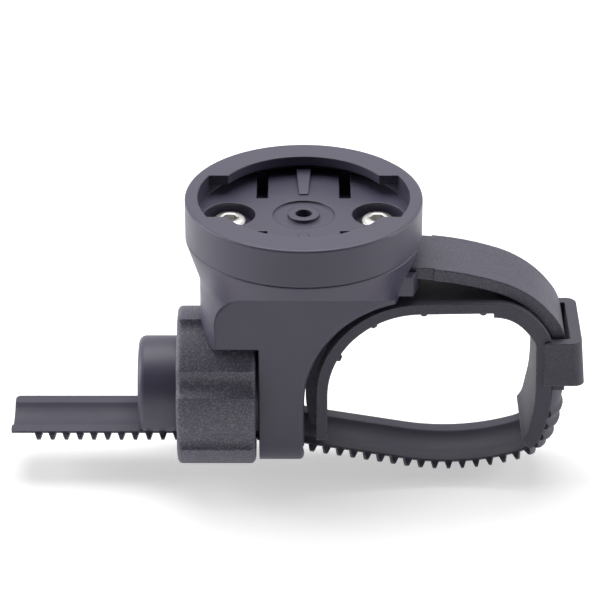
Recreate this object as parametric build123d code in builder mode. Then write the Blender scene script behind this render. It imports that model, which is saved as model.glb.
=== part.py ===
"""Band-clamped handlebar mount for a bike computer, in millimetres.

A round quarter-turn socket is screwed to a moulded bracket. A toothed flexible band is anchored under
the socket, loops round the handlebar and runs back through the bracket's leg and along its barrel. The
knob on the barrel meshes with the teeth and draws the band tight. A rubber liner lines the loop, and
its keeper holds the band.

The origin lies on the axis of the saddle, where the handlebar goes. X points from the knob towards the
keeper, Y along the handlebar and Z up.
"""
import os
from math import cos, radians, sin, sqrt
from typing import NamedTuple

from build123d import *

# Places of the socket and of the barrel, from the saddle and its axis
socket_offset = 17.1
rim_rise = 13.45
barrel_drop = 0.9

# Quarter-turn socket
tab_radius = 15.3
socket_wall = 1.85
socket_height = 5.8
socket_depth = 3.0
lip_reach = 2.45
lip_thickness = 1.45
tab_gap_width = 13.2
rim_round = 0.35
seam_chamfer = 0.12
hub_recess_radius = 4.45
hub_recess_depth = 0.3
hub_radius = 2.3
hub_height = 0.5
hub_hole_radius = 1.2
hub_hole_depth = 2.0
slot_spacing = 12.1
slot_width = 1.65
slot_start = 5.2
detent_start = 6.2
detent_inner_width = 1.4
detent_outer_width = 2.4
detent_height = 1.2
detent_step = 0.2

# Screws that hold the socket, and the inserts that they turn into
screw_inset = 4.6
screw_radius = 1.5
screw_length = 6.0
head_radius = 2.6
head_height = 1.6
head_depth = 0.4
head_round = 0.4
thread_chamfer = 0.3
drive_width = 2.0
drive_depth = 0.9
counterbore_radius = 3.7
screw_clearance = 0.2
thread_clearance = 0.05
dowel_radius = 4.4
dowel_seat = 1.4
dowel_clearance = 0.1
insert_radius = 2.1
insert_length = 4.4
insert_tip_room = 0.8

# Bracket
skirt_inset = 2.0
skirt_drop = 21.15
flare_drop = 12.4
flare_top_drop = 6.2
flare_round = 6.0
flat_half_width = 7.7
flat_drop = 12.9
flat_reach = 12.85
flat_slope = 28.0
flat_corner = 4.6
saddle_radius = 17.0
saddle_end = 4.2
leg_thickness = 6.65
leg_round_drop = 4.05
leg_round = 0.8
lug_half_width = 6.8
lug_height = 3.2
lug_gap = 0.7
barrel_radius = 7.3
barrel_length = 17.85
barrel_round = 1.1

# Knob
knob_radius = 11.85
knob_length = 11.55
knob_lobes = 8
knob_turn = 7.0
flute_radius = 2.4
flute_depth = 1.1
knob_round = 0.8
knob_clearance = 0.5
bore_clearance = 0.2
bore_chamfer = 0.5

# Band
band_width = 10.5
groove_width = 6.6
groove_depth = 0.68
tooth_pitch = 2.05
tooth_height = 1.0
tooth_base = 1.25
tooth_tip = 0.4
tooth_count = 37
tooth_arc = 88.0
tooth_root_overlap = 0.2
first_tooth = 4.0
tail_length = 18.95
tail_corner = 0.8
strap_thickness = 1.85
strap_width = 10.8
neck_width = 10.2
anchor_drop = 10.85
anchor_wall = 0.9
anchor_thickness = 1.4
anchor_hook = 0.8
anchor_rise = 1.5
band_clearance = 0.15
tooth_clearance = 0.3

# Runs of the band's inner face round the loop: radius and turn of each arc, length of each straight
exit_lead = 1.1
exit_radius = 10.5
exit_turn = 17.5
sag_radius = 60.0
sag_turn = 7.5
floor_radius = 34.5
floor_turn = 27.5
corner_radius = 5.7
side_radius = 22.5
side_turn = 18.0
shoulder_radius = 6.2
shoulder_turn = 36.2
shoulder_length = 0.5
crown_radius = 14.6
crown_turn = 35.0
arm_radius = 40.0
arm_turn = 13.5
root_radius = 30.0
root_length = 0.8

# Rubber liner with its rib and its keeper
liner_thickness = 1.6
liner_side_thickness = 2.3
liner_width = 13.2
liner_clearance = 0.15
liner_start_turn = 40.0
liner_crown_turn = 10.0
liner_corner_radius = 8.0
liner_top_heading = 181.0
liner_gap = 1.8
liner_drop = 7.6
rib_width = 8.0
rib_gap = 0.2
rib_reach = 10.0
rib_rise = 1.2
keeper_width = 14.0
keeper_height = 7.1
keeper_drop = 0.3
keeper_wall = 2.3
keeper_slant = 0.6
keeper_corner = 1.5
keeper_slot_lead = 0.6
nub_radius = 0.8
nub_tip_radius = 0.45
nub_height = 0.6
nub_spacing = 5.6
nub_sink = 0.3
nub_rows = 4
nub_first = 1.5
nub_pitch = 8.6


class Run(NamedTuple):
    """One stretch of a path in the XZ plane: a straight of some length, or an arc that turns left."""

    length: float
    radius: float
    turn: float


class Place(NamedTuple):
    """A point of a path and the heading there, in degrees from +X towards +Z."""

    x: float
    z: float
    heading: float


def straight(length):
    return Run(length, 0.0, 0.0)


def arc(radius, turn):
    return Run(abs(radians(turn)) * radius, radius, turn)


def turn_centre(place, run):
    """Centre of the arc that starts at a place."""
    side = 1 if run.turn > 0 else -1
    angle = radians(place.heading)
    return place.x - side * run.radius * sin(angle), place.z + side * run.radius * cos(angle)


def advance(place, run, share=1.0):
    """The place at a share of a run."""
    if run.turn == 0:
        angle = radians(place.heading)
        length = share * run.length
        return Place(place.x + length * cos(angle), place.z + length * sin(angle), place.heading)
    side = 1 if run.turn > 0 else -1
    x, z = turn_centre(place, run)
    heading = place.heading + share * run.turn
    angle = radians(heading)
    return Place(x + side * run.radius * sin(angle), z - side * run.radius * cos(angle), heading)


def places_along(start, runs):
    """Where each run starts, and at the end where the last one stops."""
    places = [start]
    for run in runs:
        places.append(advance(places[-1], run))
    return places


def section_plane(place):
    """Plane across the path, with its x pointing out of the loop and its y along Y."""
    angle = radians(place.heading)
    outward = (sin(angle), 0, -cos(angle))
    return Plane(origin=(place.x, 0, place.z), x_dir=outward, z_dir=(cos(angle), 0, sin(angle)))


def push_section(sketch, place, run, mode=Mode.ADD):
    """Carry a section along one run, straight or round the arc's centre."""
    if run.turn == 0:
        extrude(sketch.sketch, amount=run.length, mode=mode)
        return
    x, z = turn_centre(place, run)
    axis = Axis((x, 0, z), (0, -1 if run.turn > 0 else 1, 0))
    revolve(sketch.sketch, axis=axis, revolution_arc=abs(run.turn), mode=mode)


# Values that follow from the driving ones
socket_radius = tab_radius + socket_wall
lip_radius = tab_radius - lip_reach
skirt_radius = socket_radius - skirt_inset
rim_height = saddle_radius + rim_rise
skirt_bottom = rim_height - skirt_drop
flare_bottom = rim_height - flare_drop
flare_top = rim_height - flare_top_drop
flat_top = rim_height - flat_drop
lug_bottom = saddle_radius + lug_gap
anchor_height = rim_height - anchor_drop
barrel_height = -barrel_drop
root_depth = sqrt(barrel_radius**2 - (band_width / 2) ** 2)
band_depth = barrel_radius - root_depth
groove_radius = ((groove_width / 2) ** 2 + groove_depth**2) / (2 * groove_depth)
tooth_radius = barrel_radius + tooth_height
neutral_depth = band_depth / 2

leg_right = -saddle_radius
leg_left = leg_right - leg_thickness
barrel_end = leg_left - barrel_length
knob_right = leg_left - knob_clearance
knob_left = knob_right - knob_length
knob_bore_radius = tooth_radius + bore_clearance
leg_round_height = barrel_height - leg_round_drop

seam_height = rim_height - socket_height
floor_height = rim_height - socket_depth
head_top = floor_height - head_depth
screw_seat = head_top - head_height
dowel_bottom = screw_seat - dowel_seat
dowel_pocket_bottom = dowel_bottom - dowel_clearance
insert_bottom = dowel_pocket_bottom - insert_length
screw_reach = tab_radius - screw_inset
screw_spots = [(-socket_offset - screw_reach, 0), (-socket_offset + screw_reach, 0)]
anchor_back = screw_spots[1][0] + insert_radius + anchor_wall
anchor_x = anchor_back + anchor_thickness

# The loop starts in the leg, and the straights of its floor and its upright close it on the anchor
band_start = Place(leg_left - exit_lead, barrel_height - root_depth, 0.0)
corner_turn = 90 + exit_turn - sag_turn - floor_turn - side_turn
exit_runs = [arc(exit_radius, -exit_turn), arc(sag_radius, sag_turn)]
rising_runs = [arc(floor_radius, floor_turn), arc(corner_radius, corner_turn), arc(side_radius, side_turn)]
shoulder_runs = [
    arc(shoulder_radius, shoulder_turn),
    straight(shoulder_length),
    arc(crown_radius, crown_turn),
    arc(arm_radius, arm_turn),
]
neck_run = arc(root_radius, 90 - shoulder_turn - crown_turn - arm_turn)
root_run = straight(root_length)
short_end = places_along(band_start, [*exit_runs, *rising_runs, *shoulder_runs, neck_run, root_run])[-1]
floor_length = (anchor_x - short_end.x) / cos(radians(exit_turn - sag_turn))
toothed_runs = [*exit_runs, straight(floor_length), *rising_runs]
upright_start = places_along(band_start, toothed_runs)[-1]
open_end = places_along(upright_start, [*shoulder_runs, neck_run])[-1]
upright_run = straight(anchor_height - open_end.z)
strap_runs = [upright_run, *shoulder_runs]
neck_start = places_along(upright_start, strap_runs)[-1]
neck_runs = [neck_run, root_run]
slot_end = sqrt(tab_radius**2 - (slot_spacing / 2 + slot_width / 2) ** 2)
saddle_end_height = sqrt(saddle_radius**2 - saddle_end**2)
flute_centre_radius = knob_radius - flute_depth + flute_radius
lobe_step = 360 / knob_lobes

tail_end = barrel_end - tail_length
tail_start = Place(tail_end, band_start.z, 0.0)
all_toothed_runs = [straight(band_start.x - tail_end), *toothed_runs]
toothed_places = places_along(tail_start, all_toothed_runs)


def place_at(distance, places, runs, depth=0.0):
    """The place at a distance along a path, measured at a depth outside it."""
    for place, run in zip(places, runs):
        length = run.length + radians(run.turn) * depth
        if distance <= length:
            return advance(place, run, distance / length)
        distance -= length
    return places[-1]


def tooth_plane(index):
    """Plane on the band's own axis at one tooth, with x along the band and z into the loop."""
    place = place_at(first_tooth + index * tooth_pitch, toothed_places, all_toothed_runs, neutral_depth)
    across = section_plane(place)
    return Plane(origin=across.origin - root_depth * across.x_dir, x_dir=across.z_dir, z_dir=-across.x_dir)


# The liner follows the band's inner face to the crown, then crosses to the saddle and goes down it
corner_place = toothed_places[-3]
liner_share = (liner_start_turn - corner_place.heading) / corner_turn
touching_place = advance(corner_place, toothed_runs[-2], liner_share)
touching_angle = radians(touching_place.heading)
liner_start = Place(
    touching_place.x - liner_clearance * sin(touching_angle),
    touching_place.z + liner_clearance * cos(touching_angle),
    touching_place.heading,
)
crown_heading = upright_start.heading + shoulder_turn + liner_crown_turn
liner_side_runs = [
    arc(corner_radius - liner_clearance, corner_turn * (1 - liner_share)),
    arc(side_radius - liner_clearance, side_turn),
    upright_run,
    arc(shoulder_radius - liner_clearance, shoulder_turn),
    straight(shoulder_length),
    arc(crown_radius - liner_clearance, liner_crown_turn),
    arc(liner_corner_radius, liner_top_heading - crown_heading),
]
liner_side_places = places_along(liner_start, liner_side_runs)
liner_arc_radius = saddle_radius - liner_gap
top_angle = radians(liner_top_heading)
liner_top_length = (liner_side_places[-1].x - liner_arc_radius * sin(top_angle)) / -cos(top_angle)
liner_top_runs = [
    straight(liner_top_length),
    arc(liner_arc_radius, 270 - liner_top_heading),
    straight(liner_drop),
]
liner_top_places = places_along(liner_side_places[-1], liner_top_runs)
liner_arc_centre = turn_centre(liner_top_places[1], liner_top_runs[1])
keeper_bottom = upright_start.z - keeper_drop
keeper_left = upright_start.x - liner_clearance - liner_side_thickness / 2
keeper_right = upright_start.x + band_depth + band_clearance + keeper_wall


def nub_plane(row, side):
    """Plane just under the liner's inner face at one nub, with z into the loop."""
    distance = nub_first + row * nub_pitch
    place = place_at(distance, liner_top_places, liner_top_runs)
    across = section_plane(place)
    origin = across.origin - (liner_thickness - nub_sink) * across.x_dir + Vector(0, side * nub_spacing, 0)
    return Plane(origin=origin, x_dir=across.z_dir, z_dir=-across.x_dir)


nub_planes = [nub_plane(row, side) for row in range(nub_rows) for side in (-1, 0, 1)]


def segment_section(place, outer_radius, clearance=0.0, groove=True):
    """The band's segment of a circle, flat on the inside, with the shallow groove of the real band."""
    with BuildSketch(section_plane(place)) as section:
        with Locations((-root_depth, 0)):
            Circle(outer_radius)
        with Locations((-clearance, 0)):
            Rectangle(3 * outer_radius, 3 * outer_radius, align=(Align.MIN, Align.CENTER), mode=Mode.INTERSECT)
        if groove:
            with Locations((groove_depth - groove_radius, 0)):
                Circle(groove_radius, mode=Mode.SUBTRACT)
    return section


def strap_section(place, width, thickness, inset=0.0):
    """A flat strap's rectangle, its inner face on the path or inside it."""
    with BuildSketch(section_plane(place)) as section:
        with Locations((-inset, 0)):
            Rectangle(thickness, width, align=(Align.MIN, Align.CENTER))
    return section


# Socket cup
with BuildPart() as socket_cup:
    with BuildSketch(Plane.XY.offset(seam_height)):
        with Locations((-socket_offset, 0)):
            Circle(socket_radius)
    extrude(amount=socket_height)
    fillet(socket_cup.edges().group_by(Axis.Z)[-1], rim_round)
    chamfer(socket_cup.edges().group_by(Axis.Z)[0], seam_chamfer)
    with BuildSketch(Plane.XY.offset(seam_height)):
        with Locations(*screw_spots):
            Circle(dowel_radius)
    extrude(amount=dowel_bottom - seam_height)
    # Space under the two lips, then the opening that the tabs drop through
    with BuildSketch(Plane.XY.offset(floor_height)):
        with Locations((-socket_offset, 0)):
            Circle(tab_radius)
    extrude(amount=socket_depth - lip_thickness, mode=Mode.SUBTRACT)
    with BuildSketch(Plane.XY.offset(floor_height)):
        with Locations((-socket_offset, 0)):
            Circle(tab_radius)
            Rectangle(2 * tab_radius, tab_gap_width, mode=Mode.INTERSECT)
            Circle(lip_radius)
    extrude(amount=socket_depth, mode=Mode.SUBTRACT)
    with BuildSketch(Plane.XY.offset(floor_height)):
        with Locations((-socket_offset, 0)):
            Circle(hub_recess_radius)
            Circle(hub_radius, mode=Mode.SUBTRACT)
    extrude(amount=-hub_recess_depth, mode=Mode.SUBTRACT)
    with BuildSketch(Plane.XY.offset(floor_height)):
        with Locations((-socket_offset, 0)):
            Circle(hub_radius)
    extrude(amount=hub_height - hub_recess_depth)
    with BuildSketch(Plane.XY.offset(floor_height + hub_height - hub_recess_depth)):
        with Locations((-socket_offset, 0)):
            Circle(hub_hole_radius)
    extrude(amount=-hub_hole_depth, mode=Mode.SUBTRACT)
    # Slots that free two tongues of the floor
    with BuildSketch(Plane.XY.offset(floor_height)):
        with Locations((-socket_offset, 0)):
            with GridLocations(slot_spacing, slot_start + slot_end, 2, 2):
                Rectangle(slot_width, slot_end - slot_start)
    extrude(amount=seam_height - floor_height, mode=Mode.SUBTRACT)
    # Detents on the tongues, which widen and rise towards the wall
    for reach, width, height in (
        (detent_start, detent_inner_width, detent_step),
        (tab_radius + detent_step, detent_outer_width, detent_height),
    ):
        with BuildSketch(Plane.XZ.offset(reach)):
            with Locations((-socket_offset, floor_height - detent_step)):
                Rectangle(width, height + detent_step, align=(Align.CENTER, Align.MIN))
    detent = loft()
    mirror(detent, about=Plane.XZ)
    with Locations(*[(x, y, floor_height) for x, y in screw_spots]):
        CounterBoreHole(screw_radius + screw_clearance, counterbore_radius, floor_height - screw_seat)
socket_cup.part.label = "socket_cup"

# Bracket: round head, overhang above the knob, leg, saddle and barrel
with BuildPart() as bracket:
    with BuildSketch(Plane.XZ) as head:
        with BuildLine():
            Polyline(
                (-socket_offset, skirt_bottom),
                (-socket_offset - skirt_radius, skirt_bottom),
                (-socket_offset - skirt_radius, flare_bottom),
                (-socket_offset - socket_radius, flare_top),
                (-socket_offset - socket_radius, seam_height - seam_chamfer),
                (-socket_offset - socket_radius + seam_chamfer, seam_height),
                (-socket_offset, seam_height),
                close=True,
            )
        make_face()
        fillet(head.vertices().sort_by(lambda vertex: abs(vertex.Y - flare_bottom))[0], flare_round)
    revolve(axis=Axis((-socket_offset, 0, 0), (0, 0, 1)))
    with BuildSketch(Plane.XY.offset(lug_bottom)):
        with Locations((-socket_offset, 0)):
            Circle(socket_radius)
            Rectangle(
                2 * socket_radius, 2 * lug_half_width, align=(Align.MIN, Align.CENTER), mode=Mode.INTERSECT
            )
    extrude(amount=lug_height)
    # The flat below the sloping brow of the head, cut in front and repeated behind by the mirror below
    with BuildSketch(Plane.XZ.offset(flat_half_width)) as flat:
        with Locations((-socket_offset - flat_reach, flat_top)):
            Rectangle(2 * flat_reach + socket_radius, flat_top + socket_radius, align=(Align.MIN, Align.MAX))
        fillet(flat.vertices().sort_by(Axis.X)[:2].sort_by(Axis.Z)[-1], flat_corner)
    extrude(amount=skirt_radius, taper=-flat_slope, mode=Mode.SUBTRACT)
    split(bisect_by=Plane.XZ, keep=Keep.TOP)
    mirror(about=Plane.XZ)
    # Room for the knob under the overhang
    with BuildSketch(Plane.YZ.offset(leg_left)):
        with Locations((0, barrel_height)):
            Circle(knob_radius + knob_clearance)
    extrude(amount=-2 * skirt_radius, mode=Mode.SUBTRACT)
    with BuildSketch(Plane.YZ.offset(leg_left)):
        with Locations((0, leg_round_height)):
            Circle(flat_half_width)
            Rectangle(2 * flat_half_width, flat_top - leg_round_height, align=(Align.CENTER, Align.MIN))
    extrude(amount=leg_thickness + saddle_radius - saddle_end)
    # Saddle for the handlebar, straight below its axis
    with BuildSketch(Plane.XZ):
        Circle(saddle_radius)
        Rectangle(2 * saddle_radius, 2 * saddle_radius, align=(Align.CENTER, Align.MAX))
    extrude(amount=2 * skirt_radius, both=True, mode=Mode.SUBTRACT)
    with BuildSketch(Plane.XZ):
        with BuildLine():
            Polyline(
                (-saddle_end, 0),
                (-saddle_end, saddle_end_height),
                (-saddle_end + lug_bottom - saddle_end_height, lug_bottom),
                (saddle_radius, lug_bottom),
                (saddle_radius, 0),
                close=True,
            )
        make_face()
    extrude(amount=2 * skirt_radius, both=True, mode=Mode.SUBTRACT)
    foot_edges = bracket.edges().filter_by(
        lambda edge: abs(edge.center().X - leg_right) < leg_round / 2 and edge.center().Z < barrel_height
    )
    fillet(foot_edges, leg_round)
    with BuildSketch(Plane.YZ.offset(leg_left)):
        with Locations((0, barrel_height)):
            Circle(barrel_radius)
    extrude(amount=-barrel_length)
    fillet(bracket.edges().sort_by(Axis.X)[0], barrel_round)
    # Way for the toothed band along the barrel and out through the leg
    way_start = Place(barrel_end - barrel_round, band_start.z, 0.0)
    way_runs = [straight(band_start.x - way_start.x), *toothed_runs[:2]]
    for place, run in zip(places_along(way_start, way_runs), way_runs):
        section = segment_section(place, tooth_radius + tooth_clearance, band_clearance, groove=False)
        push_section(section, place, run, Mode.SUBTRACT)
    # Pocket for the band's anchor, open to the right and closed above by the socket
    with BuildSketch(Plane.XZ):
        with Locations((anchor_back - band_clearance, anchor_height - band_clearance)):
            Rectangle(socket_radius, socket_radius, align=(Align.MIN, Align.MIN))
        with Locations((anchor_back - band_clearance, anchor_height - anchor_hook - band_clearance)):
            Rectangle(
                anchor_thickness + 2 * band_clearance, socket_radius, align=(Align.MIN, Align.MIN)
            )
    extrude(amount=neck_width / 2 + band_clearance, both=True, mode=Mode.SUBTRACT)
    with BuildSketch(Plane.XY.offset(seam_height)):
        with Locations(*screw_spots):
            Circle(dowel_radius + dowel_clearance)
    extrude(amount=dowel_pocket_bottom - seam_height, mode=Mode.SUBTRACT)
    with Locations(*[(x, y, dowel_pocket_bottom) for x, y in screw_spots]):
        Hole(insert_radius, insert_length)
        Hole(screw_radius + screw_clearance, insert_length + insert_tip_room)
bracket.part.label = "bracket"

# Screws with a hexagon drive, and the brass inserts moulded into the bracket
with BuildPart() as socket_screw_left:
    with BuildSketch(Plane.XY.offset(screw_seat)):
        with Locations(screw_spots[0]):
            Circle(head_radius)
    extrude(amount=head_height)
    fillet(socket_screw_left.edges().group_by(Axis.Z)[-1], head_round)
    with BuildSketch(Plane.XY.offset(screw_seat)):
        with Locations(screw_spots[0]):
            Circle(screw_radius)
    extrude(amount=-screw_length)
    chamfer(socket_screw_left.edges().group_by(Axis.Z)[0], thread_chamfer)
    with BuildSketch(Plane.XY.offset(head_top)):
        with Locations(screw_spots[0]):
            RegularPolygon(drive_width / 2, 6, major_radius=False)
    extrude(amount=-drive_depth, mode=Mode.SUBTRACT)
socket_screw_left.part.label = "socket_screw_left"

with BuildPart() as socket_screw_right:
    with Locations((2 * screw_reach, 0)):
        add(socket_screw_left.part)
socket_screw_right.part.label = "socket_screw_right"

with BuildPart() as insert_left:
    with BuildSketch(Plane.XY.offset(insert_bottom)):
        with Locations(screw_spots[0]):
            Circle(insert_radius)
            Circle(screw_radius + thread_clearance, mode=Mode.SUBTRACT)
    extrude(amount=insert_length)
insert_left.part.label = "insert_left"

with BuildPart() as insert_right:
    with Locations((2 * screw_reach, 0)):
        add(insert_left.part)
insert_right.part.label = "insert_right"

# Knob with broad lobes, its thread given as a plain bore at the thread's outer diameter
with BuildPart() as knob:
    with BuildSketch(Plane.YZ.offset(knob_left)):
        with Locations((0, barrel_height)):
            Circle(knob_radius)
            with PolarLocations(flute_centre_radius, knob_lobes, start_angle=180 - knob_turn + lobe_step / 2):
                Circle(flute_radius, mode=Mode.SUBTRACT)
    extrude(amount=knob_length)
    fillet(knob.faces().filter_by(Axis.X).edges(), knob_round)
    with BuildSketch(Plane.YZ.offset(knob_left)):
        with Locations((0, barrel_height)):
            Circle(knob_bore_radius)
    extrude(amount=knob_length, mode=Mode.SUBTRACT)
    bore_ends = knob.edges().filter_by(GeomType.CIRCLE).filter_by(
        lambda edge: abs(edge.radius - knob_bore_radius) < bore_clearance / 2
    )
    chamfer(bore_ends, bore_chamfer)
knob.part.label = "knob"

# One tooth of the band: an arc of the thread that the knob turns
with BuildPart() as tooth:
    with BuildSketch(Plane.XZ.rotated((-tooth_arc / 2, 0, 0))):
        with BuildLine():
            Polyline(
                (-tooth_base / 2, tooth_root_overlap - barrel_radius),
                (-tooth_tip / 2, -tooth_radius),
                (tooth_tip / 2, -tooth_radius),
                (tooth_base / 2, tooth_root_overlap - barrel_radius),
                close=True,
            )
        make_face()
    revolve(axis=Axis.X, revolution_arc=tooth_arc)

# Band: toothed tail and loop, smooth arm over the handlebar and the anchor at its root
with BuildPart() as band:
    for place, run in zip(toothed_places, all_toothed_runs):
        push_section(segment_section(place, barrel_radius), place, run)
    for place, run in zip(places_along(upright_start, strap_runs), strap_runs):
        push_section(strap_section(place, strap_width, strap_thickness), place, run)
    for place, run in zip(places_along(neck_start, neck_runs), neck_runs):
        push_section(strap_section(place, neck_width, strap_thickness), place, run)
    with BuildSketch(Plane.XZ):
        with Locations((anchor_back, anchor_height - anchor_hook)):
            Rectangle(
                anchor_thickness,
                anchor_hook + strap_thickness + anchor_rise,
                align=(Align.MIN, Align.MIN),
            )
    extrude(amount=neck_width / 2, both=True)
    # Rounded corners of the tail's end, seen from above
    with BuildSketch(Plane.XY):
        with Locations((tail_end, 0)):
            Rectangle(2 * tail_corner, band_width, align=(Align.CENTER, Align.CENTER))
        with Locations((tail_end + 2 * tail_corner, 0)):
            RectangleRounded(4 * tail_corner, band_width, tail_corner, mode=Mode.SUBTRACT)
    extrude(amount=2 * socket_radius, both=True, mode=Mode.SUBTRACT)
    with Locations(*[tooth_plane(index) for index in range(tooth_count)]):
        add(tooth.part)
band.part.label = "band"

# Liner inside the loop, with the keeper that wraps the band
with BuildPart() as liner:
    for places, runs, thickness in (
        (liner_side_places, liner_side_runs, liner_side_thickness),
        (liner_top_places, liner_top_runs, liner_thickness),
    ):
        for place, run in zip(places, runs):
            push_section(strap_section(place, liner_width, thickness, thickness), place, run)
    # Rib on the back of the liner, which fills the room left in the saddle
    with BuildSketch(Plane.XZ):
        Circle(saddle_radius - rib_gap)
        with Locations((-rib_reach, liner_top_places[-1].z + rib_rise)):
            Rectangle(saddle_radius, 2 * saddle_radius, align=(Align.MAX, Align.MIN), mode=Mode.INTERSECT)
        with Locations((-liner_arc_radius + liner_thickness / 2, liner_arc_centre[1])):
            Rectangle(saddle_radius, 2 * saddle_radius, align=(Align.MIN, Align.MAX), mode=Mode.SUBTRACT)
        with Locations(liner_arc_centre):
            Circle(liner_arc_radius - liner_thickness / 2, mode=Mode.SUBTRACT)
    extrude(amount=rib_width / 2, both=True)
    with BuildSketch(Plane.XZ):
        with BuildLine():
            Polyline(
                (keeper_left, keeper_bottom),
                (keeper_right, keeper_bottom),
                (keeper_right - keeper_slant, keeper_bottom + keeper_height),
                (keeper_left, keeper_bottom + keeper_height),
                close=True,
            )
        make_face()
    keeper = extrude(amount=keeper_width / 2, both=True)
    fillet(liner.edges().filter_by(Axis.Y, reverse=True).sort_by(Axis.X)[-2:], keeper_corner)
    keeper_places = places_along(upright_start, strap_runs)
    for place, run in zip(keeper_places, strap_runs[:3]):
        section = strap_section(
            place, strap_width + 2 * band_clearance, band_depth + band_clearance + liner_clearance, liner_clearance
        )
        push_section(section, place, run, Mode.SUBTRACT)
    side_place = advance(toothed_places[-2], toothed_runs[-1], 1 - keeper_slot_lead / toothed_runs[-1].length)
    section = strap_section(
        side_place, strap_width + 2 * band_clearance, band_depth + band_clearance + liner_clearance, liner_clearance
    )
    push_section(section, side_place, arc(side_radius, upright_start.heading - side_place.heading), Mode.SUBTRACT)
    with Locations(*nub_planes):
        Cone(nub_radius, nub_tip_radius, nub_height + nub_sink, align=(Align.CENTER, Align.CENTER, Align.MIN))
liner.part.label = "liner"

os.makedirs("parts", exist_ok=True)
export_step(socket_cup.part, "parts/socket_cup.step")
export_step(bracket.part, "parts/bracket.step")
export_step(socket_screw_left.part, "parts/socket_screw_left.step")
export_step(socket_screw_right.part, "parts/socket_screw_right.step")
export_step(insert_left.part, "parts/insert_left.step")
export_step(insert_right.part, "parts/insert_right.step")
export_step(knob.part, "parts/knob.step")
export_step(band.part, "parts/band.step")
export_step(liner.part, "parts/liner.step")
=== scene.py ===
"""Dresses the handlebar mount of a bicycle computer and stands it in a plain pale studio.

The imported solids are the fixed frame: they give every place and size, in metres. The socket, the knob and
the inserts are shown by their solids, with the finishes below. The bracket, the band and the liner are
shown by reshaped copies of theirs, and the two screws are modelled here, with their drives and threads.
"""
import logging
import math
from dataclasses import dataclass, field
from enum import Enum
from typing import Any

import bmesh
import bpy
from mathutils import Matrix, Vector

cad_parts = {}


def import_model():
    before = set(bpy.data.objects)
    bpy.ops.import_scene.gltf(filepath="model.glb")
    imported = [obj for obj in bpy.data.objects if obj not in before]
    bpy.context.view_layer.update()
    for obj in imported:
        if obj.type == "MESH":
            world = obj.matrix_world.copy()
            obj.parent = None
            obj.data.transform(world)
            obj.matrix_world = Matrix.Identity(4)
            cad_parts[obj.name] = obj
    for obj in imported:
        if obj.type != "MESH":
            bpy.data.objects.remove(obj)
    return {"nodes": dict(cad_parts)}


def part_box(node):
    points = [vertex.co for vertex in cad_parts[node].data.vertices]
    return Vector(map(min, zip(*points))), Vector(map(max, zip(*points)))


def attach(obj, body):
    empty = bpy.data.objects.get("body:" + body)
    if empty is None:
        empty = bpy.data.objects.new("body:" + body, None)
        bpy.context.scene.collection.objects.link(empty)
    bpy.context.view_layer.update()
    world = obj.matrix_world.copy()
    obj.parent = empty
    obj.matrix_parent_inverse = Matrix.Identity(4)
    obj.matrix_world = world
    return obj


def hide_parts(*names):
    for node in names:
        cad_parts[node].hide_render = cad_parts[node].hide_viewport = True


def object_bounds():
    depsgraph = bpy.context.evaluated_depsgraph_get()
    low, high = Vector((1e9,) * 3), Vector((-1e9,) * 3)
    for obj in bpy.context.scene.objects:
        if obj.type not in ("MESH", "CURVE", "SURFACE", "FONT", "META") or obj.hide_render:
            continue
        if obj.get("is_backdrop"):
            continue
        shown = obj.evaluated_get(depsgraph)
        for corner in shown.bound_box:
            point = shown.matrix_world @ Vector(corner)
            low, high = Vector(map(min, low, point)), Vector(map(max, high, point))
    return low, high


log = logging.getLogger("mount")

MM = 0.001
# Side of the picture in pixels, width of the camera's sensor in millimetres, and its reach in metres
PHOTO_PIXELS = 600
SENSOR_WIDTH = 36.0
CLIP_RANGE = (0.01, 20.0)
# Rings that a wave texture draws in one unit of its scale
WAVE_REPEATS = 20
# Corners of a mesh that are this near each other are one, and a cut this near a corner goes through it
MERGE_REACH = 1e-7
CUT_REACH = 1e-8
# How far off a surface a corner may lie and still count as on it, in millimetres
SLACK = 0.03
# Edges that bend by more than this many degrees are shown sharp
SHARP_ANGLE = 32.0
# Half of the angle that one side of a hexagon spans
HALF_SIDE = math.pi / 6

Links = dict[str | int, bpy.types.NodeSocket]
Settings = dict[str | int, Any]


class Body(Enum):
    """The rigid bodies of the mount."""

    BRACKET = "bracket_body"
    KNOB = "knob_body"


def linear(hex_code: str) -> tuple[float, float, float, float]:
    """Turns an sRGB hex colour to the linear colour that a shader takes, by the standard's own curve.

    Args:
        hex_code: Six hex digits with a leading hash.

    Returns:
        Red, green, blue and an alpha of one.
    """
    shares = [int(hex_code[i : i + 2], 16) / 255 for i in (1, 3, 5)]
    red, green, blue = [s / 12.92 if s <= 0.04045 else ((s + 0.055) / 1.055) ** 2.4 for s in shares]
    return red, green, blue, 1.0


def per_mm(size: float) -> float:
    """Gives the texture scale at which a pattern repeats about every so many millimetres."""
    return 1 / (size * MM)


def add_node(
    tree: bpy.types.NodeTree, kind: str, settings: Settings | None = None, links: Links | None = None
) -> bpy.types.Node:
    """Adds a shader node with its settings and links.

    Args:
        tree: The node tree of a material or world.
        kind: The node's type name.
        settings: Values by input name, input number or property name.
        links: Output sockets by input name or number.

    Returns:
        The new node.
    """
    node = tree.nodes.new(kind)
    for key, value in (settings or {}).items():
        if isinstance(key, int) or key in node.inputs:
            node.inputs[key].default_value = value
        else:
            setattr(node, key, value)
    for key, socket in (links or {}).items():
        tree.links.new(socket, node.inputs[key])
    return node


def new_material(name: str) -> bpy.types.Material:
    """Makes a material with an empty node tree.

    Args:
        name: Its name.

    Returns:
        The material.
    """
    material = bpy.data.materials.new(name)
    material.use_nodes = True
    material.node_tree.nodes.clear()
    return material


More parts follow.
